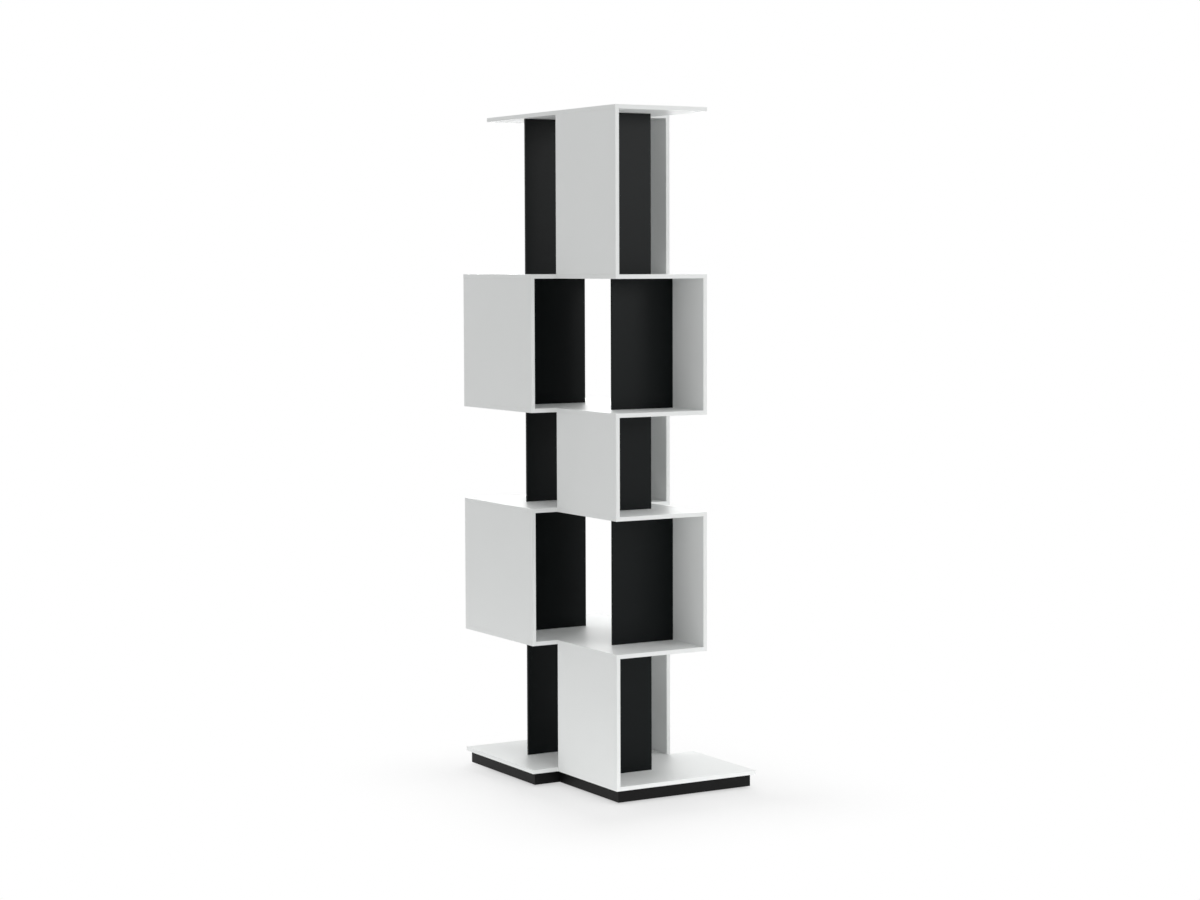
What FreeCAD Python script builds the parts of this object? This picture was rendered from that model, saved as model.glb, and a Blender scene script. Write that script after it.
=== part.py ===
import FreeCAD, Part
import os

# A free-standing stepped bookcase. Five rows of open compartments stand on a Z-shaped base, and
# the rows are narrow and wide by turns. Every length is in millimetres. The origin is at the
# middle of the footprint on the floor, +Z is up, and the front faces -Y.

# White boards, walls and black dividers: thickness of each
board = 12.0
divider = 8.0

# Plan of the two halves: the front half is narrower, and the back half is shifted to the left
front_width = 300.0
front_depth = 335.0
back_depth = 420.0
base_width = 468.0
side_step = 83.0

# Clear height of each row, from the floor row up to the top row
row_1_height = 362.0
row_2_height = 374.0
row_3_height = 277.0
row_4_height = 373.0
row_5_height = 456.0

# Dividers: how long the front ones are, and where the free ends of the back ones stand
front_divider_length = 203.0
back_divider_wide_length = 286.0
back_divider_setback = 15.0

# Softened edges of the lacquered boards and panels
board_arris = 0.6
divider_arris = 0.5

# Recessed plinth under the base board
plinth_height = 35.0
plinth_inset = 12.0
rail_thickness = 18.0
rail_arris = 0.8

# Levelling feet and the blocks that carry them
floor_gap = 4.0
foot_block_size = 50.0
foot_block_clearance = 13.0
pad_radius = 14.0
pad_top_radius = 9.0
pad_height = 7.0
pad_rim_height = 2.5
stud_radius = 4.0
stud_seat_depth = 4.0
stud_top_room = 6.0
stud_tip_chamfer = 0.8
stud_bead_overhang = 1.5
stud_bead_height = 1.8
swivel_play = 0.1
collar_gap = 0.3
collar_height = 4.0
collar_radius = 7.5
insert_radius = 6.0
insert_length = 14.0
insert_flange_radius = 9.0
insert_flange_height = 1.2
stud_play = 0.05
stud_hole_play = 0.6

# Wooden dowels between boards, walls and rails
dowel_radius = 3.0
dowel_in_wall = 18.0
dowel_margin = 45.0
front_wall_dowel_count = 3
back_wall_dowel_count = 4
dowel_in_rail = 16.0
rail_dowel_margin = 25.0
long_rail_dowel_count = 3
short_rail_dowel_count = 2

# Steel pins that hold the dividers
pin_radius = 1.5
pin_in_divider = 14.0
pin_margin = 25.0
side_pin_margin = 50.0

# Skin of board left behind a dowel or pin, and the play round and past each of them
board_skin = 6.5
fixing_play = 0.05
fixing_room = 0.5

# Countersunk screws that hold the foot blocks up to the base board
screw_radius = 2.0
screw_head_radius = 4.0
screw_head_height = 2.2
screw_head_recess = 0.4
screw_offset = 15.0

# Left edge of each half and of the whole footprint
back_left = -(base_width + side_step) / 2
front_left = back_left + side_step
front_right = front_left + front_width
base_front_right = front_left + base_width
back_right = back_left + base_width

# Front, middle step and back of the footprint
front = -(front_depth + back_depth) / 2
step = front + front_depth
back = step + back_depth

# Heights of the plinth, the base board and the rows
plinth_bottom = floor_gap
plinth_top = plinth_bottom + plinth_height
row_heights = [row_1_height, row_2_height, row_3_height, row_4_height, row_5_height]
row_count = len(row_heights)
board_bottoms = [plinth_top]
for row_height in row_heights:
    board_bottoms.append(board_bottoms[-1] + board + row_height)

# Depth of a hole in the face of a board, and how far its dowel or pin goes in
hole_in_board = board - board_skin
fixing_in_board = hole_in_board - fixing_room

os.makedirs("parts", exist_ok=True)
UP = FreeCAD.Vector(0, 0, 1)
RIGHT = FreeCAD.Vector(1, 0, 0)


def cuboid(x0, x1, y0, y1, z0, z1):
    """A box between two values on each axis."""
    corner = FreeCAD.Vector(x0, y0, z0)
    return Part.makeBox(x1 - x0, y1 - y0, z1 - z0, corner)


def rod(x, y, z, radius, length, direction=UP):
    """A cylinder that starts at a point and runs along a direction."""
    return Part.makeCylinder(radius, length, FreeCAD.Vector(x, y, z), direction)


def prism(points, z0, height):
    """A flat outline of (x, y) points raised to a plate."""
    corners = [FreeCAD.Vector(x, y, z0) for x, y in points]
    return Part.Face(Part.makePolygon(corners + corners[:1])).extrude(UP * height)


def spread(first, last, margin, count):
    """Even places from first to last, the outer ones a margin away from the ends."""
    gap = (last - first - 2 * margin) / (count - 1)
    return [first + margin + gap * k for k in range(count)]


def upright_edges(solid):
    """The edges that run straight up."""
    return [e for e in solid.Edges if abs(e.tangentAt(e.FirstParameter).z) > 0.5]


def level_edges(solid):
    """The edges that run level."""
    return [e for e in solid.Edges if abs(e.tangentAt(e.FirstParameter).z) < 0.5]


def save(name, *solids):
    """Writes one piece, or a group of like pieces, to its own file."""
    shape = solids[0] if len(solids) == 1 else Part.makeCompound(list(solids))
    shape.exportStep("parts/" + name + ".step")


# Joints. Each joint is a dowel or pin and the hole that takes it, which is cut from both pieces.
board_holes = [[] for _ in board_bottoms]
wall_dowels = []
divider_pins = []


def upright_fixing(x, y, joint_z, radius, in_lower, in_upper):
    """A dowel or pin across a level joint, and the slightly wider and deeper hole for it."""
    peg = rod(x, y, joint_z - in_lower, radius, in_lower + in_upper)
    hole_depth = in_lower + in_upper + 2 * fixing_room
    hole = rod(x, y, joint_z - in_lower - fixing_room, radius + fixing_play, hole_depth)
    return peg, hole


def fix_between_boards(row, places, radius, in_piece):
    """Pegs at the foot and head of a piece that stands between the boards of one row."""
    pegs = []
    holes = []
    floor_z = board_bottoms[row] + board
    ceiling_z = board_bottoms[row + 1]
    for x, y in places:
        peg, hole = upright_fixing(x, y, floor_z, radius, fixing_in_board, in_piece)
        pegs.append(peg)
        holes.append(hole)
        board_holes[row].append(hole)
        peg, hole = upright_fixing(x, y, ceiling_z, radius, in_piece, fixing_in_board)
        pegs.append(peg)
        holes.append(hole)
        board_holes[row + 1].append(hole)
    return pegs, holes


def side_pins(row, wall_face_x, towards_wall, y):
    """Two level pins that tie a divider's fixed end to the inner face of a wall."""
    pins = []
    holes = []
    floor_z = board_bottoms[row] + board
    ceiling_z = board_bottoms[row + 1]
    for z in (floor_z + side_pin_margin, ceiling_z - side_pin_margin):
        start = wall_face_x - towards_wall * pin_in_divider
        direction = RIGHT * towards_wall
        pins.append(rod(start, y, z, pin_radius, pin_in_divider + fixing_in_board, direction))
        hole_start = start - towards_wall * fixing_room
        hole_depth = pin_in_divider + fixing_in_board + 2 * fixing_room
        holes.append(rod(hole_start, y, z, pin_radius + fixing_play, hole_depth, direction))
    return pins, holes


# Walls and dividers, row by row. In a narrow row the front wall is on the left and the back wall
# on the right. In a wide row they change sides, so that each half carries the one above it.
front_divider_y = (front + step) / 2
back_divider_y = (step + back) / 2


def wall(row, x0, y0, y1, dowel_count):
    """One white wall between two boards, doweled at its foot and head."""
    z0 = board_bottoms[row] + board
    panel = cuboid(x0, x0 + board, y0, y1, z0, board_bottoms[row + 1])
    panel = panel.makeFillet(board_arris, upright_edges(panel))
    places = [(x0 + board / 2, y) for y in spread(y0, y1, dowel_margin, dowel_count)]
    pegs, holes = fix_between_boards(row, places, dowel_radius, dowel_in_wall)
    wall_dowels.extend(pegs)
    return panel, holes


def divider_panel(row, x0, x1, y, wall_face_x):
    """One black divider across a half, pinned to both boards and to the wall at its fixed end."""
    z0 = board_bottoms[row] + board
    panel = cuboid(x0, x1, y - divider / 2, y + divider / 2, z0, board_bottoms[row + 1])
    free_x = x0 if wall_face_x > (x0 + x1) / 2 else x1
    ends = [e for e in upright_edges(panel) if abs(e.CenterOfMass.x - free_x) < divider / 2]
    panel = panel.makeFillet(divider_arris, ends)
    places = [(x0 + pin_margin, y), (x1 - pin_margin, y)]
    pegs, holes = fix_between_boards(row, places, pin_radius, pin_in_divider)
    towards_wall = 1 if free_x == x0 else -1
    pins, level_holes = side_pins(row, wall_face_x, towards_wall, y)
    divider_pins.extend(pegs + pins)
    return panel.cut(holes + level_holes), level_holes


for row in range(row_count):
    number = str(row + 1)
    narrow = row % 2 == 0
    if narrow:
        front_wall_x = front_left
        back_wall_x = back_right - board
        front_face = front_left + board
        back_face = back_right - board
        front_span = (front_face, front_face + front_divider_length)
        back_span = (front_left + back_divider_setback, back_face)
    else:
        front_wall_x = front_right - board
        back_wall_x = back_left
        front_face = front_right - board
        back_face = back_left + board
        front_span = (front_face - front_divider_length, front_face)
        back_span = (back_face, back_face + back_divider_wide_length)
    front_wall, front_wall_holes = wall(row, front_wall_x, front, step, front_wall_dowel_count)
    back_wall, back_wall_holes = wall(row, back_wall_x, step, back, back_wall_dowel_count)
    front_panel, front_pin_holes = divider_panel(row, *front_span, front_divider_y, front_face)
    back_panel, back_pin_holes = divider_panel(row, *back_span, back_divider_y, back_face)
    save("front_wall_" + number, front_wall.cut(front_wall_holes + front_pin_holes))
    save("back_wall_" + number, back_wall.cut(back_wall_holes + back_pin_holes))
    save("front_divider_" + number, front_panel)
    save("back_divider_" + number, back_panel)

save("wall_dowels", *wall_dowels)
save("divider_pins", *divider_pins)


# Plinth. Eight mitred rails follow the base board's outline, and one cross rail ties the step.
def base_ring(inset):
    """The base's outline, moved inwards by a distance, from the front left corner round."""
    return [
        (front_left + inset, front + inset),
        (base_front_right - inset, front + inset),
        (base_front_right - inset, step - inset),
        (back_right - inset, step - inset),
        (back_right - inset, back - inset),
        (back_left + inset, back - inset),
        (back_left + inset, step + inset),
        (front_left + inset, step + inset),
    ]


rail_names = ["front", "front_right", "step_right", "back_right",
              "back", "back_left", "step_left", "front_left"]
short_rails = ("step_right", "step_left")
rail_outer = base_ring(plinth_inset)
rail_middle = base_ring(plinth_inset + rail_thickness / 2)
rail_inner = base_ring(plinth_inset + rail_thickness)
plinth_dowels = []


def rail_fixings(x0, y0, x1, y1, dowel_count):
    """Dowels from a rail's top edge up into the base board, along the rail's middle line."""
    holes = []
    length = abs(x1 - x0) + abs(y1 - y0)
    for place in spread(0, length, rail_dowel_margin, dowel_count):
        x = x0 + (x1 - x0) * place / length
        y = y0 + (y1 - y0) * place / length
        peg, hole = upright_fixing(x, y, plinth_top, dowel_radius, dowel_in_rail, fixing_in_board)
        plinth_dowels.append(peg)
        holes.append(hole)
        board_holes[0].append(hole)
    return holes


for k, rail_name in enumerate(rail_names):
    following = (k + 1) % len(rail_names)
    corners = [rail_outer[k], rail_outer[following], rail_inner[following], rail_inner[k]]
    rail = prism(corners, plinth_bottom, plinth_height)
    middle_x = (rail_outer[k][0] + rail_outer[following][0]) / 2
    middle_y = (rail_outer[k][1] + rail_outer[following][1]) / 2
    lower_outer = [e for e in level_edges(rail)
                   if abs(e.CenterOfMass.z - plinth_bottom) < rail_arris
                   and abs(e.CenterOfMass.x - middle_x) < rail_arris
                   and abs(e.CenterOfMass.y - middle_y) < rail_arris]
    rail = rail.makeChamfer(rail_arris, lower_outer)
    count = short_rail_dowel_count if rail_name in short_rails else long_rail_dowel_count
    holes = rail_fixings(*rail_middle[k], *rail_middle[following], count)
    save("plinth_rail_" + rail_name, rail.cut(holes))

cross_x0 = front_left + plinth_inset + rail_thickness
cross_x1 = back_right - plinth_inset - rail_thickness
cross_rail = cuboid(cross_x0, cross_x1, step - rail_thickness / 2, step + rail_thickness / 2,
                    plinth_bottom, plinth_top)
cross_holes = rail_fixings(cross_x0, step, cross_x1, step, long_rail_dowel_count)
save("plinth_cross_rail", cross_rail.cut(cross_holes))
save("plinth_dowels", *plinth_dowels)


# Levelling feet. A block in each outer corner of the plinth holds a threaded insert, and a
# stud screws up into it. A bead at the stud's foot turns in the moulded pad, which stands still
# on the floor. The studs' threads are drawn as plain cylinders.
block_bottom = plinth_bottom + foot_block_clearance
pad_seat = pad_height - stud_seat_depth
bead_radius = stud_radius + stud_bead_overhang
bead_top = pad_seat + stud_bead_height
stud_top = plinth_top - stud_top_room
half_block = foot_block_size / 2
foot_inserts = []
block_screws = []


def revolve(profile, x, y):
    """Turns a profile of (radius, height) points about the upright line through x, y."""
    corners = [FreeCAD.Vector(x + radius, y, z) for radius, z in profile]
    face = Part.Face(Part.makePolygon(corners + corners[:1]))
    return face.revolve(FreeCAD.Vector(x, y, 0), UP, 360)


def foot_pad(x, y):
    """The moulded pad: a low disc with a sloping shoulder, and a lipped seat for the bead."""
    neck = stud_radius + swivel_play
    wide = bead_radius + swivel_play
    return revolve([(0, 0), (pad_radius, 0), (pad_radius, pad_rim_height),
                    (pad_top_radius, pad_height), (neck, pad_height),
                    (neck, bead_top + swivel_play), (wide, bead_top + swivel_play),
                    (wide, pad_seat), (0, pad_seat)], x, y)


def foot_stud(x, y):
    """The steel stud, with its bead in the pad and a six-sided collar above it for a spanner."""
    tip_radius = stud_radius - stud_tip_chamfer
    stud = revolve([(0, pad_seat), (bead_radius, pad_seat), (bead_radius, bead_top),
                    (stud_radius, bead_top), (stud_radius, stud_top - stud_tip_chamfer),
                    (tip_radius, stud_top), (0, stud_top)], x, y)
    collar_points = []
    for k in range(6):
        corner = FreeCAD.Rotation(UP, 60 * k).multVec(RIGHT * collar_radius)
        collar_points.append((x + corner.x, y + corner.y))
    collar = prism(collar_points, pad_height + collar_gap, collar_height)
    return stud.fuse(collar).removeSplitter()


def threaded_insert(x, y):
    """The sleeve in the block, with a thin flange under it."""
    bore = stud_radius + stud_play
    return revolve([(bore, block_bottom - insert_flange_height),
                    (insert_flange_radius, block_bottom - insert_flange_height),
                    (insert_flange_radius, block_bottom), (insert_radius, block_bottom),
                    (insert_radius, block_bottom + insert_length),
                    (bore, block_bottom + insert_length)], x, y)


def block_screw(x, y):
    """A countersunk screw, driven up through a block into the base board."""
    head_bottom = block_bottom + screw_head_recess
    tip = plinth_top + fixing_in_board
    return revolve([(0, head_bottom), (screw_head_radius, head_bottom),
                    (screw_radius, head_bottom + screw_head_height),
                    (screw_radius, tip), (0, tip)], x, y)


def block_screw_hole(x, y):
    """The countersunk hole for one such screw."""
    head_bottom = block_bottom + screw_head_recess
    tip = plinth_top + hole_in_board
    wide = screw_head_radius + fixing_play
    slim = screw_radius + fixing_play
    return revolve([(0, block_bottom), (wide, block_bottom), (wide, head_bottom),
                    (slim, head_bottom + screw_head_height), (slim, tip), (0, tip)], x, y)


def foot_corner(name, x, y):
    """One corner: its block, insert, two screws, stud and pad."""
    block = cuboid(x - half_block, x + half_block, y - half_block, y + half_block,
                   block_bottom, plinth_top)
    stud_hole = rod(x, y, block_bottom, stud_radius + stud_hole_play, plinth_top - block_bottom)
    insert_hole = rod(x, y, block_bottom, insert_radius, insert_length)
    screw_holes = []
    for side in (-1, 1):
        screw_x = x + side * screw_offset
        screw_y = y - side * screw_offset
        screw_holes.append(block_screw_hole(screw_x, screw_y))
        block_screws.append(block_screw(screw_x, screw_y))
    board_holes[0].extend(screw_holes)
    save("foot_block_" + name, block.cut([stud_hole, insert_hole] + screw_holes))
    foot_inserts.append(threaded_insert(x, y))
    save("foot_stud_" + name, foot_stud(x, y))
    save("foot_pad_" + name, foot_pad(x, y))


foot_centre_inset = plinth_inset + rail_thickness + half_block
foot_ring = base_ring(foot_centre_inset)
foot_corner("front_left", *foot_ring[0])
foot_corner("front_right", *foot_ring[1])
foot_corner("step_right", *foot_ring[2])
foot_corner("back_right", *foot_ring[4])
foot_corner("back_left", *foot_ring[5])
foot_corner("step_left", *foot_ring[6])
save("foot_inserts", *foot_inserts)
save("block_screws", *block_screws)


# Boards. Each is one plate with the outline of both halves, and its holes are cut last.
def plate(index, front_end, back_start):
    """A board from the front half's right end and the back half's left end."""
    outline = [(front_left, front), (front_end, front), (front_end, step)]
    outline += [(back_right, step), (back_right, back), (back_start, back)]
    if back_start < front_left:
        outline += [(back_start, step), (front_left, step)]
    solid = prism(outline, board_bottoms[index], board)
    solid = solid.makeFillet(board_arris, level_edges(solid))
    return solid.cut(board_holes[index])


save("base_board", plate(0, base_front_right, back_left))
for shelf in range(1, row_count):
    save("shelf_" + str(shelf), plate(shelf, front_right, back_left))
save("top_board", plate(row_count, front_right, front_left))
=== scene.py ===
import math

import bpy
import numpy as np
from mathutils import Matrix, Vector


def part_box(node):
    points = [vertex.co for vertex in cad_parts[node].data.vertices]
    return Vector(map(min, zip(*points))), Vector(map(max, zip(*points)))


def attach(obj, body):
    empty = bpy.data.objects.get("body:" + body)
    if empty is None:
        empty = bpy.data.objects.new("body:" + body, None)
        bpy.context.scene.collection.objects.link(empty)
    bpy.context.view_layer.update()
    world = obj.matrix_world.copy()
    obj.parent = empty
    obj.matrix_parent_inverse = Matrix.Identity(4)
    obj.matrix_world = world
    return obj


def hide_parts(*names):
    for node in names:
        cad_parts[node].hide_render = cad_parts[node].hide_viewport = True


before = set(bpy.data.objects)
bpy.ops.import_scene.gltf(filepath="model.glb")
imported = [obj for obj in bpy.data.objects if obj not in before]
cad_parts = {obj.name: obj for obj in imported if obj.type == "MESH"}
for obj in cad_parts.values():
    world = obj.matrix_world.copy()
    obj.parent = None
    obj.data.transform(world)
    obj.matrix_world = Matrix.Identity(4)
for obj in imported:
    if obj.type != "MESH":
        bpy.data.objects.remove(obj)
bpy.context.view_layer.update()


# Camera
# A long lens at eye height looks at the bookcase from its front left. The place is given from
# the near corner of the base board, and the lens by its length for a 36 mm wide sensor.
EYE_HEADING = math.radians(30.38)
EYE_PITCH = -0.0696
EYE_ROLL = 0.0030
EYE_DISTANCE = 6.940
EYE_SIDE = -0.0445
EYE_HEIGHT = 1.472
SENSOR_WIDTH = 36.0
LENS = 75.24
PHOTO_WIDTH = 1200
SHIFT_PIXELS = -10
FARTHEST_SEEN = 100

base_low, base_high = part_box("base_board")
near_corner = Vector((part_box("front_wall_1")[0].x, base_low.y, base_low.z))


def place_camera():
    """A camera turned by heading, pitch and roll, as columns of right, up and back."""
    ahead = Vector((math.sin(EYE_HEADING), math.cos(EYE_HEADING), 0))
    right = Vector((math.cos(EYE_HEADING), -math.sin(EYE_HEADING), 0))
    up = Vector((0, 0, 1))
    place = near_corner - ahead * EYE_DISTANCE + right * EYE_SIDE + up * EYE_HEIGHT
    look = ahead * math.cos(EYE_PITCH) + up * math.sin(EYE_PITCH)
    top = up * math.cos(EYE_PITCH) - ahead * math.sin(EYE_PITCH)
    side = right * math.cos(EYE_ROLL) - top * math.sin(EYE_ROLL)
    top = right * math.sin(EYE_ROLL) + top * math.cos(EYE_ROLL)
    data = bpy.data.cameras.new("eye")
    data.sensor_width = SENSOR_WIDTH
    data.lens = LENS
    data.shift_y = SHIFT_PIXELS / PHOTO_WIDTH
    data.clip_end = FARTHEST_SEEN
    eye = bpy.data.objects.new("eye", data)
    bpy.context.scene.collection.objects.link(eye)
    turned = Matrix((side, top, -look)).transposed().to_4x4()
    eye.matrix_world = Matrix.Translation(place) @ turned
    bpy.context.scene.camera = eye


place_camera()


# Studio
# A pale floor that turns white away from the bookcase, six soft lamps round and above it, and a
# plain sky. The floor is seen from above only, so that the underside can be looked at too.
FLOOR_SIZE = 40.0
FLOOR_COLOUR = (0.88, 0.88, 0.88)
FLOOR_GLOW = 0.55
GLOW_FROM = 0.55
GLOW_TO = 1.2
# Painted shade: the floor shows its own lit grey only near a rectangle of the base's size, moved
# towards the front left, so the grey there is partly real shadow and partly painted shade.
SHADE_CENTRE = (-0.04, -0.15, 0)
SHADE_REACH = 0.50
SHADE_POWER = 2
SHADE_SHARE = 0.50
SKY_LIGHT = 0.615
FULL_WHITE = 1.0
WHITE_RAYS = ("Is Camera Ray", "Is Transmission Ray", "Is Glossy Ray")
LAMPS = {
    "front_low": dict(place=(0.6, -4.2, 1.0), target=(0, 0, 0.9), size=1.6, power=18.0),
    "front_right": dict(place=(1.9, -3.4, 2.2), target=(0, 0, 1.6), size=1.0, power=18.5),
    "right_low": dict(place=(3.2, -0.4, 0.45), target=(0, 0, 0.9), size=0.9, power=7.0),
    "back_right": dict(place=(1.8, 2.9, 2.1), target=(0, 0, 0.6), size=1.6, power=47.0),
    "left_back": dict(place=(-1.1, 2.2, 4.4), target=(0, 0, 0.6), size=1.6, power=13.0),
    "overhead": dict(place=(0, 0, 8.0), target=(0, 0, 0), size=5.0, power=90.0),
}


def put(socket, value):
    """Sets a socket to a value, or links it to an output or to a node's first output."""
    if isinstance(value, bpy.types.Node):
        value = value.outputs[0]
    if isinstance(value, bpy.types.NodeSocket):
        socket.id_data.links.new(value, socket)
    else:
        socket.default_value = (*value, 1) if socket.type == "RGBA" else value


def nodes_of(tree):
    """Empties a node tree, and gives a function that adds a node with its inputs filled."""
    tree.nodes.clear()

    def add(kind, *inputs, **settings):
        node = tree.nodes.new("ShaderNode" + kind)
        for key, value in settings.items():
            if hasattr(node, key):
                setattr(node, key, value)
            else:
                put(node.inputs[key.replace("_", " ")], value)
        for socket, value in zip(node.inputs, inputs):
            put(socket, value)
        return node

    return add


def new_material(name):
    """An empty material, and the function that adds nodes to it."""
    material = bpy.data.materials.new(name)
    material.use_nodes = True
    return material, nodes_of(material.node_tree)


def seen_rays(add):
    """1 for the rays that see the white itself, and 0 for those that carry its light."""
    path = add("LightPath")
    seen = 0.0
    for kind in WHITE_RAYS:
        seen = add("Math", seen, path.outputs[kind], operation="MAXIMUM")
    return seen


def floor_paint():
    """Shaded near the bookcase, partly by its real shadow and partly by painted shade, and seen
    pure white far from it, in reflections too.

    With d the distance from a rectangle of the base's size, moved to SHADE_CENTRE, the share of
    the paint's own shaded colour is SHADE_SHARE (1 - d / SHADE_REACH) ^ SHADE_POWER, and the rest
    is white;
    this share is painted shade. A patch under the bookcase adds light that isn't seen itself, as
    from a floor that is lit more brightly.
    """
    paint, add = new_material("floor_paint")
    place = add("TexCoord").outputs["Object"]
    reach = add("VectorMath", place, operation="LENGTH").outputs["Value"]
    patch = add("MapRange", reach, GLOW_FROM, GLOW_TO, FLOOR_GLOW, 0.0,
                interpolation_type="SMOOTHERSTEP")
    seen = seen_rays(add)
    unseen = add("Math", 1.0, seen, operation="SUBTRACT")
    glow = add("Emission", Strength=add("Math", patch, unseen, operation="MULTIPLY"))
    near = add("AddShader", add("BsdfDiffuse", Color=FLOOR_COLOUR), glow)
    aside = add("VectorMath", place, SHADE_CENTRE, operation="SUBTRACT")
    sides = add("VectorMath", aside, operation="ABSOLUTE")
    outside = add("VectorMath", sides, (base_high - base_low) / 2, operation="SUBTRACT")
    beyond = add("VectorMath", outside, (0, 0, 0), operation="MAXIMUM")
    distance = add("VectorMath", beyond, operation="LENGTH").outputs["Value"]
    nearness = add("MapRange", distance, 0.0, SHADE_REACH, 1.0, 0.0)
    shaded = add("Math", nearness, SHADE_POWER, operation="POWER")
    whiter = add("Math", shaded, -SHADE_SHARE, 1.0, operation="MULTIPLY_ADD")
    white_share = add("Math", whiter, seen, operation="MULTIPLY")
    above = add("MixShader", white_share, near, add("Emission", Strength=FULL_WHITE))
    from_below = add("NewGeometry").outputs["Backfacing"]
    one_sided = add("MixShader", from_below, above, add("BsdfTransparent"))
    add("OutputMaterial", Surface=one_sided)
    return paint


def make_floor():
    """A square sheet on the ground, under the origin."""
    half = FLOOR_SIZE / 2
    mesh = bpy.data.meshes.new("floor")
    corners = [(-half, -half, 0), (half, -half, 0), (half, half, 0), (-half, half, 0)]
    mesh.from_pydata(corners, [], [(0, 1, 2, 3)])
    mesh.materials.append(floor_paint())
    floor = bpy.data.objects.new("floor", mesh)
    bpy.context.scene.collection.objects.link(floor)


def make_sky():
    """White where it is seen, and a plain soft light for everything else."""
    sky = bpy.data.worlds.new("sky")
    bpy.context.scene.world = sky
    sky.use_nodes = True
    add = nodes_of(sky.node_tree)
    soft = add("Background", Color=(1, 1, 1), Strength=SKY_LIGHT)
    white = add("Background", Color=(1, 1, 1), Strength=FULL_WHITE)
    add("OutputWorld", Surface=add("MixShader", seen_rays(add), soft, white))


def softbox(name, place, target, size, power):
    """A square lamp that faces a point."""
    data = bpy.data.lights.new(name, "AREA")
    data.shape = "SQUARE"
    data.size = size
    data.energy = power
    lamp = bpy.data.objects.new(name, data)
    lamp.visible_camera = False
    bpy.context.scene.collection.objects.link(lamp)
    lamp.location = place
    lamp.rotation_euler = (Vector(target) - Vector(place)).to_track_quat("-Z", "Y").to_euler()


make_floor()
make_sky()
for lamp_name, lamp_values in LAMPS.items():
    softbox(lamp_name, **lamp_values)


# White boards and side walls
# Base board, shelves, top board and walls are 12 mm fine board with a matt white lacquer. It has a
# faint orange peel, and its tone drifts over each panel.
MM = 0.001
ROW_COUNT = 5
WHITE = (0.823, 0.838, 0.831)
WHITE_DRIFT = 0.985
WHITE_ROUGHNESS = 0.42
WHITE_SWING = 0.03
WHITE_GLOSS = 0.055
PEEL_SIZE = 0.9 * MM
PEEL_DEPTH = 0.012 * MM
DRIFT_SIZE = 180 * MM
DRIFT_DETAIL = 3.0
DRIFT_SOFTNESS = 0.5
GRAIN_DETAIL = 2.0
GRAIN_SOFTNESS = 0.6
FIRST_COLOUR = 6
SECOND_COLOUR = 7
BLENDED_COLOUR = 2


def noise(add, sizes, detail, softness):
    """Noise in Object coordinates, whose lumps have the sizes given along X, Y and Z."""
    place = add("TexCoord").outputs["Object"]
    drawn_out = add("Mapping", Vector=place, Scale=[1 / size for size in sizes])
    return add("TexNoise", Vector=drawn_out, Scale=1.0, Detail=detail, Roughness=softness)


def blend(add, share, first, second):
    """The colour at a share of the way from one colour to another.

    A Mix node has sockets for numbers and vectors too, so those for colours go by their place.
    """
    mix = add("Mix", share, data_type="RGBA")
    put(mix.inputs[FIRST_COLOUR], first)
    put(mix.inputs[SECOND_COLOUR], second)
    return mix.outputs[BLENDED_COLOUR]


def skin(add, tone, grain, roughness, swing, depth, **settings):
    """The surface itself: its tone, and a fine noise that moves its gloss and dimples it."""
    gloss = add("MapRange", grain, 0.0, 1.0, roughness - swing, roughness + swing)
    relief = add("Bump", Strength=1.0, Distance=depth, Height=grain)
    surface = add("BsdfPrincipled", Base_Color=tone, Roughness=gloss, Normal=relief, **settings)
    add("OutputMaterial", Surface=surface)


def lacquer(name, colour, drift, drift_size, roughness, swing, gloss, grain_size, grain_depth):
    """Paint whose tone drifts over a piece, between its colour and the colour times the drift."""
    paint, add = new_material(name)
    cloud = noise(add, [drift_size] * 3, DRIFT_DETAIL, DRIFT_SOFTNESS)
    grain = noise(add, [grain_size] * 3, GRAIN_DETAIL, GRAIN_SOFTNESS)
    tone = blend(add, cloud, [c * drift for c in colour], colour)
    skin(add, tone, grain, roughness, swing, grain_depth, Specular_IOR_Level=gloss)
    return paint


def dress(material, *names):
    """Gives a material to carried-over nodes, in place of the one they came with."""
    for name in names:
        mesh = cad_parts[name].data
        mesh.materials.clear()
        mesh.materials.append(material)


def numbered(stem, count):
    """The names stem_1, stem_2 and so on."""
    return [stem + "_" + str(k + 1) for k in range(count)]


front_walls = numbered("front_wall", ROW_COUNT)
back_walls = numbered("back_wall", ROW_COUNT)
white_lacquer = lacquer("white_lacquer", WHITE, drift=WHITE_DRIFT, drift_size=DRIFT_SIZE,
                        roughness=WHITE_ROUGHNESS, swing=WHITE_SWING, gloss=WHITE_GLOSS,
                        grain_size=PEEL_SIZE, grain_depth=PEEL_DEPTH)
dress(white_lacquer, "base_board", "top_board", *numbered("shelf", ROW_COUNT - 1),
      *front_walls, *back_walls)


# Black dividers
# Thin panels with a matt black lacquer across the middle of each half. They are pinned to the
# boards above and below, and to the wall at one end.
BLACK = (0.0016, 0.0032, 0.0035)
BLACK_DRIFT = 0.9
BLACK_ROUGHNESS = 0.38
BLACK_SWING = 0.04
BLACK_GLOSS = 0.135

dividers = numbered("front_divider", ROW_COUNT) + numbered("back_divider", ROW_COUNT)
black_lacquer = lacquer("black_lacquer", BLACK, drift=BLACK_DRIFT, drift_size=DRIFT_SIZE,
                        roughness=BLACK_ROUGHNESS, swing=BLACK_SWING, gloss=BLACK_GLOSS,
                        grain_size=PEEL_SIZE, grain_depth=PEEL_DEPTH)
dress(black_lacquer, *dividers)


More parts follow.
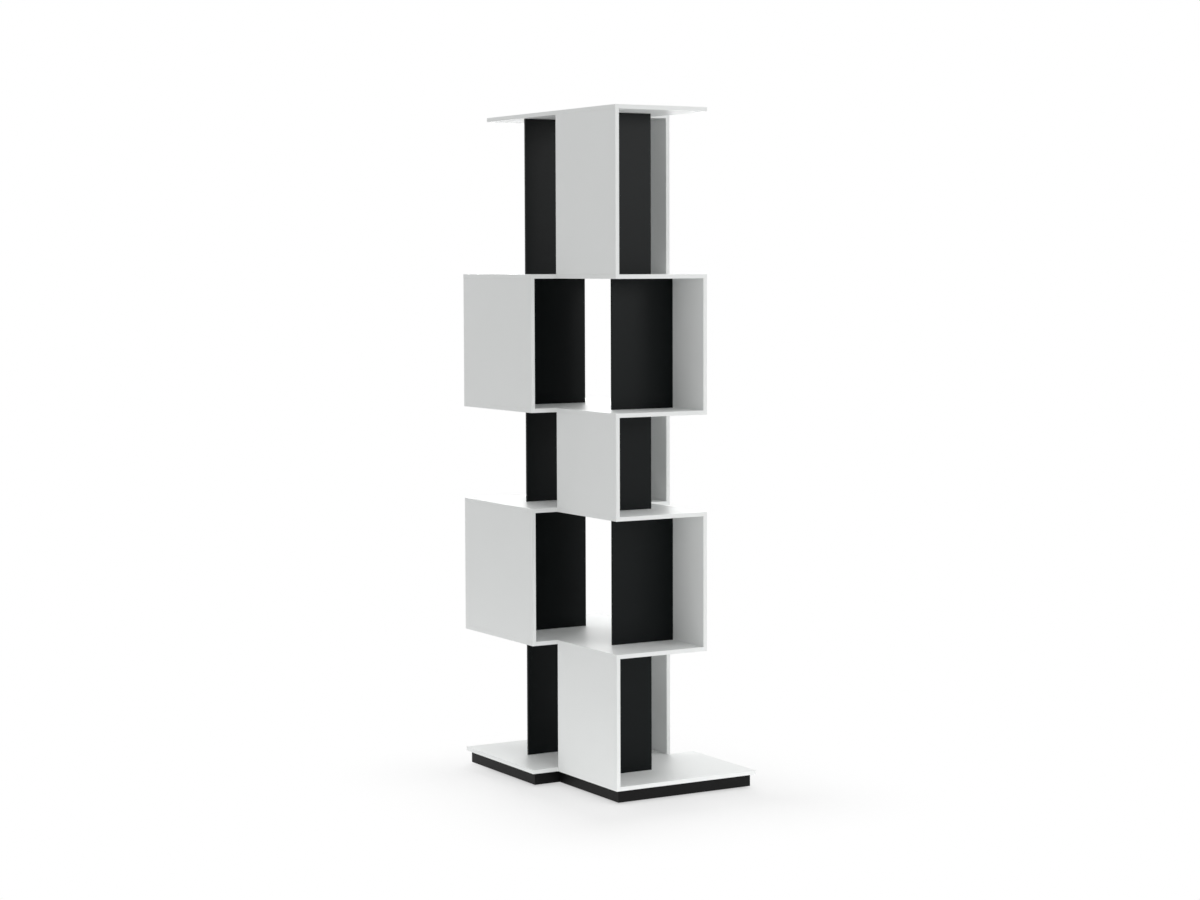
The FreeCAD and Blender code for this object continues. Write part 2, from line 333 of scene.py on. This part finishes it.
# Plinth rails
# Black rails with a finely textured paint, set back under the base board and mitred at its
# corners. One more rail ties the two halves at the step.
PLINTH = (0.0020, 0.0020, 0.0021)
PLINTH_DRIFT = 0.75
PLINTH_DRIFT_SIZE = 6 * MM
PLINTH_ROUGHNESS = 0.52
PLINTH_SWING = 0.10
PLINTH_GLOSS = 0.18
PLINTH_GRAIN_SIZE = 1.6 * MM
PLINTH_GRAIN_DEPTH = 0.12 * MM

textured_paint = lacquer("textured_paint", PLINTH, drift=PLINTH_DRIFT,
                         drift_size=PLINTH_DRIFT_SIZE, roughness=PLINTH_ROUGHNESS,
                         swing=PLINTH_SWING, gloss=PLINTH_GLOSS,
                         grain_size=PLINTH_GRAIN_SIZE, grain_depth=PLINTH_GRAIN_DEPTH)
rails = [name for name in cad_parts
         if name.startswith("plinth_") and name != "plinth_dowels"]
dress(textured_paint, *rails)


# Foot blocks
# Six square blocks of raw beech in the plinth's corners, which stiffen it and carry the feet.
# The grain runs to the right, with short dark flecks.
BEECH_LIGHT = (0.56, 0.385, 0.215)
BEECH_DARK = (0.42, 0.265, 0.135)
BEECH_FLECK = (0.27, 0.155, 0.075)
BEECH_ROUGHNESS = 0.62
BEECH_SOFTNESS = 0.55
BEECH_RELIEF = 0.03 * MM
BAND_WIDTH = 5 * MM
BAND_LENGTH = 90 * MM
BAND_DETAIL = 4.0
FLECK_WIDTH = 0.35 * MM
FLECK_LENGTH = 2.2 * MM
FLECK_DETAIL = 1.0
FLECK_FROM = 0.66
FLECK_TO = 0.74
TO_THE_RIGHT = 0
UPWARDS = 2


def raw_wood(name, along):
    """Beech: broad bands and fine flecks, both drawn out along one axis in Object coordinates."""
    wood, add = new_material(name)
    band_sizes = [BAND_LENGTH if axis == along else BAND_WIDTH for axis in range(3)]
    fleck_sizes = [FLECK_LENGTH if axis == along else FLECK_WIDTH for axis in range(3)]
    bands = noise(add, band_sizes, BAND_DETAIL, BEECH_SOFTNESS)
    flecks = noise(add, fleck_sizes, FLECK_DETAIL, BEECH_SOFTNESS)
    spots = add("MapRange", flecks, FLECK_FROM, FLECK_TO)
    tone = blend(add, spots, blend(add, bands, BEECH_DARK, BEECH_LIGHT), BEECH_FLECK)
    relief = add("Bump", Strength=1.0, Distance=BEECH_RELIEF, Height=bands)
    surface = add("BsdfPrincipled", Base_Color=tone, Roughness=BEECH_ROUGHNESS, Normal=relief)
    add("OutputMaterial", Surface=surface)
    return wood


corners = [name[len("foot_pad_"):] for name in sorted(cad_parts)
           if name.startswith("foot_pad_")]
dress(raw_wood("block_beech", TO_THE_RIGHT), *["foot_block_" + corner for corner in corners])


# Dowels
# Turned beech pegs glued into the boards, walls and rails. Straight flutes let out the glue and
# the air, and the ends are bevelled. Their grain runs upwards.
DOWEL_RADIUS = 3.0 * MM
DOWEL_BEVEL = 0.6 * MM
DOWEL_FLUTES = 12
DOWEL_FLUTE_DEPTH = 0.25 * MM
DOWEL_FLUTE_COLUMNS = 4
DOWEL_IN_BOARD = 5.0 * MM
DOWEL_IN_WALL = 18.0 * MM
DOWEL_IN_RAIL = 16.0 * MM
WALL_MARGIN = 45.0 * MM
RAIL_MARGIN = 25.0 * MM
FRONT_WALL_DOWELS = 3
BACK_WALL_DOWELS = 4
LONG_RAIL_DOWELS = 3
SHORT_RAIL_DOWELS = 2


def closed_surface(name, grids, material):
    """Grids of points, rows upwards and columns round, each closed on its axis at both ends.

    A face joins a point, the next one round, and the two above them. Each end has a point in its
    middle, the mean of its row, with a face to each side of that row.
    """
    places = []
    faces = []
    start = 0
    for points in grids:
        rows, columns, _ = points.shape
        places += [points.reshape(-1, 3), points[:1].mean(axis=1), points[-1:].mean(axis=1)]
        index = start + np.arange(rows * columns).reshape(rows, columns)
        after = np.roll(index, -1, axis=1)
        sides = np.stack([index[:-1], after[:-1], after[1:], index[1:]], axis=-1).reshape(-1, 4)
        foot = np.full(columns, start + rows * columns)
        head = foot + 1
        caps = np.vstack([np.stack([after[0], index[0], foot], axis=-1),
                          np.stack([index[-1], after[-1], head], axis=-1)])
        faces += sides.tolist() + caps.tolist()
        start = head[0] + 1
    mesh = bpy.data.meshes.new(name)
    mesh.from_pydata(np.vstack(places).tolist(), [], faces)
    mesh.materials.append(material)
    piece = bpy.data.objects.new(name, mesh)
    bpy.context.scene.collection.objects.link(piece)
    return piece


def turn_angles(columns):
    """Even angles round a whole turn."""
    return np.arange(columns) * math.tau / columns


def around(radii, heights, centre):
    """Points (x + r cos a, y + r sin a, z), for radii in rows by height and columns by angle."""
    angles = turn_angles(radii.shape[1])
    across = centre[0] + radii * np.cos(angles)
    along = centre[1] + radii * np.sin(angles)
    up = np.broadcast_to(heights[:, None], radii.shape)
    return np.stack([across, along, up], axis=-1)


def flutes(count, columns, depth):
    """How far n flutes go into a rim, depth (1 - cos n a) / 2, for a row of angles."""
    return depth * (1 - np.cos(count * turn_angles(columns))) / 2


def peg(centre, low, high, rim, bevel):
    """A rod with bevelled ends: its rim's radii r between them, and r less the bevel at each."""
    bevels = np.array([bevel, 0, 0, bevel])
    heights = np.array([low, low + bevel, high - bevel, high])
    return around(rim - bevels[:, None], heights, centre)


def across_joint(centre, joint, in_lower, in_upper, rim, bevel):
    """An upright peg that goes into the pieces below and above a level joint."""
    return peg(centre, joint - in_lower, joint + in_upper, rim, bevel)


def along_middle(name, margin, count):
    """Even places on an upright board's middle line, the outer ones a margin off its ends."""
    low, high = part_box(name)
    middle = (low + high) / 2
    if high.y - low.y > high.x - low.x:
        return [(middle.x, y) for y in np.linspace(low.y + margin, high.y - margin, count)]
    return [(x, middle.y) for x in np.linspace(low.x + margin, high.x - margin, count)]


dowel_beech = raw_wood("dowel_beech", UPWARDS)
dowel_rim = DOWEL_RADIUS - flutes(DOWEL_FLUTES, DOWEL_FLUTES * DOWEL_FLUTE_COLUMNS,
                                  DOWEL_FLUTE_DEPTH)
wall_pegs = []
for name in front_walls + back_walls:
    low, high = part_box(name)
    count = FRONT_WALL_DOWELS if name in front_walls else BACK_WALL_DOWELS
    for centre in along_middle(name, WALL_MARGIN, count):
        wall_pegs += [across_joint(centre, low.z, DOWEL_IN_BOARD, DOWEL_IN_WALL,
                                   dowel_rim, DOWEL_BEVEL),
                      across_joint(centre, high.z, DOWEL_IN_WALL, DOWEL_IN_BOARD,
                                   dowel_rim, DOWEL_BEVEL)]

rail_pegs = []
for name in rails:
    low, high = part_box(name)
    half_thickness = min(high.x - low.x, high.y - low.y) / 2
    mitre = 0 if name == "plinth_cross_rail" else half_thickness
    count = SHORT_RAIL_DOWELS if "step" in name else LONG_RAIL_DOWELS
    for centre in along_middle(name, RAIL_MARGIN + mitre, count):
        rail_pegs.append(across_joint(centre, high.z, DOWEL_IN_RAIL, DOWEL_IN_BOARD,
                                      dowel_rim, DOWEL_BEVEL))

for node, pegs in (("wall_dowels", wall_pegs), ("plinth_dowels", rail_pegs)):
    fluted = closed_surface("fluted_" + node, pegs, dowel_beech)
    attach(fluted, "carcass")
    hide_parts(node)


# Threaded inserts
# Turned brass sleeves pressed into the blocks from below, with a thin flange that stops them.
# The studs screw up into them.
BRASS = (0.78, 0.56, 0.27)
BRASS_TARNISH = 0.78
BRASS_ROUGHNESS = 0.27
BRASS_SWING = 0.08
TURNING_PITCH = 0.12 * MM
TURNING_DEPTH = 0.006 * MM
TARNISH_SIZE = 2.5 * MM
TARNISH_DETAIL = 3.0
TARNISH_SOFTNESS = 0.55


def bare_metal(name, colour, tarnish, roughness, swing, scratch_size, scratch_depth):
    """Metal with cloudy tarnish, and fine scratches that lie flat round it."""
    metal, add = new_material(name)
    cloud = noise(add, [TARNISH_SIZE] * 3, TARNISH_DETAIL, TARNISH_SOFTNESS)
    scratches = noise(add, [TARNISH_SIZE, TARNISH_SIZE, scratch_size],
                      GRAIN_DETAIL, GRAIN_SOFTNESS)
    tone = blend(add, cloud, [c * tarnish for c in colour], colour)
    skin(add, tone, scratches, roughness, swing, scratch_depth, Metallic=1.0)
    return metal


brass = bare_metal("turned_brass", BRASS, tarnish=BRASS_TARNISH, roughness=BRASS_ROUGHNESS,
                   swing=BRASS_SWING, scratch_size=TURNING_PITCH, scratch_depth=TURNING_DEPTH)
dress(brass, "foot_inserts")


# Divider pins
# Short steel pins with a bright zinc plate and bevelled ends. Each divider has two in the board
# below, two in the board above, and two that lie level in the wall at its fixed end.
ZINC = (0.60, 0.615, 0.64)
ZINC_TARNISH = 0.86
ZINC_ROUGHNESS = 0.30
ZINC_SWING = 0.07
DRAWING_SIZE = 0.2 * MM
DRAWING_DEPTH = 0.004 * MM
PIN_RADIUS = 1.5 * MM
PIN_BEVEL = 0.3 * MM
PIN_COLUMNS = 24
PIN_IN_BOARD = 5.0 * MM
PIN_IN_DIVIDER = 14.0 * MM
PIN_MARGIN = 25.0 * MM
PINS_A_SIDE = 2
SIDE_PIN_MARGIN = 50.0 * MM


def level_peg(centre, low, high, rim, bevel):
    """A peg along X: an upright one at (y, z), with its points turned round to (x, y, z)."""
    return np.roll(peg(centre, low, high, rim, bevel), 1, axis=-1)


zinc = bare_metal("zinc_plate", ZINC, tarnish=ZINC_TARNISH, roughness=ZINC_ROUGHNESS,
                  swing=ZINC_SWING, scratch_size=DRAWING_SIZE, scratch_depth=DRAWING_DEPTH)
pin_rim = np.full(PIN_COLUMNS, PIN_RADIUS)
pins = []
for divider, wall in zip(dividers, front_walls + back_walls):
    low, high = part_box(divider)
    for centre in along_middle(divider, PIN_MARGIN, PINS_A_SIDE):
        pins += [across_joint(centre, low.z, PIN_IN_BOARD, PIN_IN_DIVIDER, pin_rim, PIN_BEVEL),
                 across_joint(centre, high.z, PIN_IN_DIVIDER, PIN_IN_BOARD, pin_rim, PIN_BEVEL)]
    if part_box(wall)[0].x > low.x:
        ends = (high.x - PIN_IN_DIVIDER, high.x + PIN_IN_BOARD)
    else:
        ends = (low.x - PIN_IN_BOARD, low.x + PIN_IN_DIVIDER)
    for z in (low.z + SIDE_PIN_MARGIN, high.z - SIDE_PIN_MARGIN):
        pins.append(level_peg(((low.y + high.y) / 2, z), *ends, pin_rim, PIN_BEVEL))
bevelled_pins = closed_surface("bevelled_pins", pins, zinc)
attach(bevelled_pins, "carcass")
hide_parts("divider_pins")


# Foot studs
# M8 steel studs with a zinc plate. A bead at the foot turns in the pad, a six-sided collar above
# it takes a spanner, and the thread screws up into the insert.
THREAD_RADIUS = 4.0 * MM
THREAD_PITCH = 1.25 * MM
THREAD_DEPTH = 0.767 * MM
THREAD_RUN_IN = 1.0 * MM
CREST_SHARE = 0.125
ROOT_SHARE = 0.25
BEAD_RADIUS = 5.5 * MM
BEAD_HEIGHT = 1.8 * MM
BEAD_ROUND = 0.35 * MM
BEAD_FLAT_SHARE = 0.3
COLLAR_START = 4.3 * MM
COLLAR_HEIGHT = 4.0 * MM
COLLAR_FACE_SHARE = 0.95
COLLAR_CHAMFER = math.radians(30)
SIXTH_TURN = math.tau / 6
TIP_CHAMFER = 0.8 * MM
STUD_COLUMNS = 72
STUD_ROWS_A_TURN = 10
COLLAR_ROWS = 12
ROUND_ROWS = 5


def rounded(outline, radius, steps):
    """An outline of (r, z) points with each inner corner replaced by an arc.

    An arc leaves each side at the radius times the tangent of half the turn. Its points are its
    start times (1 - t)^2, plus the corner times 2 t (1 - t), plus its end times t^2.
    """
    points = np.array(outline)
    arcs = [points[:1]]
    for before, corner, after in zip(points, points[1:], points[2:]):
        inward = (before - corner) / np.linalg.norm(before - corner)
        onward = (after - corner) / np.linalg.norm(after - corner)
        turn = math.pi - math.acos(np.clip(inward @ onward, -1, 1))
        reach = radius * math.tan(turn / 2)
        t = np.linspace(0, 1, steps)[:, None]
        arc = ((1 - t) ** 2 * (corner + inward * reach) + 2 * t * (1 - t) * corner
               + t ** 2 * (corner + onward * reach))
        arcs.append(arc)
    arcs.append(points[-1:])
    return np.vstack(arcs)


def hexagon(radius, columns):
    """Distance from the axis to a hexagon's side, r cos 30 / cos(a - 30) over each sixth turn."""
    from_middle = np.mod(turn_angles(columns), SIXTH_TURN) - SIXTH_TURN / 2
    return radius * math.cos(SIXTH_TURN / 2) / np.cos(from_middle)


def screw_thread(heights, radius, pitch, depth, fade, columns):
    """Radii of a thread: a flat crest, a sloping flank down to a flat root, and a flank up again.

    The place in the turn is z / pitch - a / 360, and both ends fade into the root.
    """
    turn = np.mod(heights[:, None] / pitch - turn_angles(columns) / math.tau, 1.0)
    from_crest = np.abs(turn - 0.5) * 2
    flank = 1 - CREST_SHARE - ROOT_SHARE
    dip = np.clip((from_crest - CREST_SHARE) / flank, 0, 1)
    near_end = np.minimum(heights - heights[0], heights[-1] - heights)
    grown = np.clip(near_end / fade, 0, 1)[:, None]
    return radius - depth * (1 - grown * (1 - dip))


def stud_points(low, high):
    """The bead, neck, collar and thread of one stud, as rows of radii going up.

    The collar's radius is the hexagon's, or that of the chamfer's cone where this is less.
    """
    centre = ((low.x + high.x) / 2, (low.y + high.y) / 2)
    corner_radius = (high.x - low.x) / 2
    core = THREAD_RADIUS - THREAD_DEPTH
    bead_top = low.z + BEAD_HEIGHT
    bead = rounded([(BEAD_FLAT_SHARE * BEAD_RADIUS, low.z), (BEAD_RADIUS, low.z),
                    (BEAD_RADIUS, bead_top), (THREAD_RADIUS, bead_top)], BEAD_ROUND, ROUND_ROWS)
    collar_low = low.z + COLLAR_START
    collar_high = collar_low + COLLAR_HEIGHT
    heights = np.linspace(collar_low, collar_high, COLLAR_ROWS)
    flats = hexagon(corner_radius, STUD_COLUMNS)
    face_radius = COLLAR_FACE_SHARE * corner_radius * math.cos(SIXTH_TURN / 2)
    from_face = np.minimum(heights - collar_low, collar_high - heights)
    cone = face_radius + from_face / math.tan(COLLAR_CHAMFER)
    collar = np.minimum(flats[None, :], cone[:, None])
    thread_top = high.z - TIP_CHAMFER
    turns = (thread_top - collar_high) / THREAD_PITCH
    thread_heights = np.linspace(collar_high, thread_top, int(turns * STUD_ROWS_A_TURN))
    thread = screw_thread(thread_heights, THREAD_RADIUS, THREAD_PITCH, THREAD_DEPTH,
                          THREAD_RUN_IN, STUD_COLUMNS)
    whole = np.ones((1, STUD_COLUMNS))
    radii = np.vstack([bead[:, :1] * whole, THREAD_RADIUS * whole, collar, thread,
                       (core - TIP_CHAMFER) * whole])
    levels = np.concatenate([bead[:, 1], [collar_low], heights, thread_heights, [high.z]])
    return around(radii, levels, centre)


for corner in corners:
    node = "foot_stud_" + corner
    stud = closed_surface("stud_" + corner, [stud_points(*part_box(node))], zinc)
    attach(stud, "stud_" + corner)
    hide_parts(node)


# Foot pads
# Moulded black pads with a sloping shoulder. Fine flutes round the rim give a grip, and a lipped
# seat in the middle holds the stud's bead.
PAD_COLOUR = (0.018, 0.018, 0.019)
PAD_DRIFT = 0.8
PAD_DRIFT_SIZE = 5 * MM
PAD_ROUGHNESS = 0.52
PAD_SWING = 0.06
PAD_GLOSS = 0.5
PAD_GRAIN_SIZE = 0.35 * MM
PAD_GRAIN_DEPTH = 0.02 * MM
PAD_RIM_HEIGHT = 2.5 * MM
PAD_TOP_RADIUS = 9.0 * MM
PAD_NECK_RADIUS = 4.1 * MM
PAD_SEAT_RADIUS = 5.6 * MM
PAD_SEAT_HEIGHT = 3.0 * MM
PAD_LIP_HEIGHT = 4.9 * MM
PAD_ROUND = 0.4 * MM
PAD_FOOT_RADIUS = 3.0 * MM
GRIP_FLUTES = 32
GRIP_FLUTE_DEPTH = 0.3 * MM
GRIP_FLUTE_COLUMNS = 6

pad_plastic = lacquer("pad_plastic", PAD_COLOUR, drift=PAD_DRIFT, drift_size=PAD_DRIFT_SIZE,
                      roughness=PAD_ROUGHNESS, swing=PAD_SWING, gloss=PAD_GLOSS,
                      grain_size=PAD_GRAIN_SIZE, grain_depth=PAD_GRAIN_DEPTH)


def pad_points(low, high):
    """One pad's rounded outline turned about its axis, with cosine flutes where it is widest."""
    centre = ((low.x + high.x) / 2, (low.y + high.y) / 2)
    outer = (high.x - low.x) / 2
    outline = rounded([(PAD_FOOT_RADIUS, low.z), (outer, low.z), (outer, low.z + PAD_RIM_HEIGHT),
                       (PAD_TOP_RADIUS, high.z), (PAD_NECK_RADIUS, high.z),
                       (PAD_NECK_RADIUS, low.z + PAD_LIP_HEIGHT),
                       (PAD_SEAT_RADIUS, low.z + PAD_LIP_HEIGHT),
                       (PAD_SEAT_RADIUS, low.z + PAD_SEAT_HEIGHT),
                       (PAD_FOOT_RADIUS, low.z + PAD_SEAT_HEIGHT)], PAD_ROUND, ROUND_ROWS)
    cuts = flutes(GRIP_FLUTES, GRIP_FLUTES * GRIP_FLUTE_COLUMNS, GRIP_FLUTE_DEPTH)
    at_rim = np.clip((outline[:, :1] - (outer - 2 * PAD_ROUND)) / PAD_ROUND, 0, 1)
    return around(outline[:, :1] - at_rim * cuts, outline[:, 1], centre)


for corner in corners:
    node = "foot_pad_" + corner
    pad = closed_surface("pad_" + corner, [pad_points(*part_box(node))], pad_plastic)
    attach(pad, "pad_" + corner)
    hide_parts(node)


# Block screws
# Two countersunk wood screws hold each block up to the base board. They are driven from below,
# and their heads have a cross recess.
SCREW_OFFSET = 15.0 * MM
SCREW_HEAD_RADIUS = 4.0 * MM
SCREW_HEAD_HEIGHT = 2.2 * MM
SCREW_HEAD_EDGE = 0.25 * MM
SCREW_RADIUS = 2.0 * MM
SCREW_THREAD_DEPTH = 0.55 * MM
SCREW_PITCH = 1.8 * MM
SCREW_PLAIN_LENGTH = 6.0 * MM
SCREW_POINT = 3.5 * MM
SCREW_TIP_SHARE = 0.03
CROSS_REACH = 2.3 * MM
CROSS_HALF_WIDTH = 0.55 * MM
CROSS_SLOPE = 0.22 * MM
CROSS_DEPTH = 1.5 * MM
CROSS_END_STEEPNESS = 1.6
INNERMOST_RADIUS = 0.05 * MM
THREAD_START_STEP = 0.1 * MM
SCREW_COLUMNS = 72
HEAD_ROWS = 22
SCREW_ROWS_A_TURN = 7


def cross_recess(radii, columns):
    """Depth of the recess under a head: two arms at right angles, shallower towards their ends.

    An arm's depth is CROSS_DEPTH times two shares, each kept from 0 to 1: (half its width - the
    distance across it) / its slope, and CROSS_END_STEEPNESS (its reach - the distance along it)
    / its reach. The deeper of the two arms counts.
    """
    angles = turn_angles(columns)
    x = np.abs(radii[:, None] * np.cos(angles))
    y = np.abs(radii[:, None] * np.sin(angles))

    def arm(along, across):
        side = np.clip((CROSS_HALF_WIDTH - across) / CROSS_SLOPE, 0, 1)
        return side * np.clip((CROSS_REACH - along) / CROSS_REACH * CROSS_END_STEEPNESS, 0, 1)

    return CROSS_DEPTH * np.maximum(arm(x, y), arm(y, x))


def screw_points(x, y, head_bottom, tip):
    """One screw: its head's lower face, the cone, a plain neck, the thread and the point.

    The point's radii are the thread's times (tip - z) / the point's length.
    """
    face_radii = np.linspace(INNERMOST_RADIUS, SCREW_HEAD_RADIUS - SCREW_HEAD_EDGE, HEAD_ROWS)
    whole = np.ones((1, SCREW_COLUMNS))
    core = SCREW_RADIUS - SCREW_THREAD_DEPTH
    neck_low = head_bottom + SCREW_HEAD_HEIGHT
    thread_low = neck_low + SCREW_PLAIN_LENGTH
    turns = (tip - thread_low) / SCREW_PITCH
    heights = np.linspace(thread_low, tip, int(turns * SCREW_ROWS_A_TURN))
    thread = screw_thread(heights, SCREW_RADIUS, SCREW_PITCH, SCREW_THREAD_DEPTH,
                          SCREW_PITCH, SCREW_COLUMNS)
    taper = np.clip((tip - heights) / SCREW_POINT, SCREW_TIP_SHARE, 1)[:, None]
    radii = np.vstack([face_radii[:, None] * whole, SCREW_HEAD_RADIUS * whole, core * whole,
                       core * whole, thread * taper])
    levels = np.concatenate([np.full(HEAD_ROWS, head_bottom), [head_bottom + SCREW_HEAD_EDGE],
                             [neck_low], [thread_low - THREAD_START_STEP], heights])
    points = around(radii, levels, (x, y))
    points[:HEAD_ROWS, :, 2] += cross_recess(face_radii, SCREW_COLUMNS)
    return points


screws_low, screws_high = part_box("block_screws")
screw_grids = []
for corner in corners:
    block_low, block_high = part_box("foot_block_" + corner)
    middle = (block_low + block_high) / 2
    for side in (-1, 1):
        screw_grids.append(screw_points(middle.x + side * SCREW_OFFSET,
                                        middle.y - side * SCREW_OFFSET,
                                        screws_low.z, screws_high.z))
screws = closed_surface("cross_screws", screw_grids, zinc)
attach(screws, "carcass")
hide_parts("block_screws")

bpy.context.scene.view_settings.view_transform = "Standard"
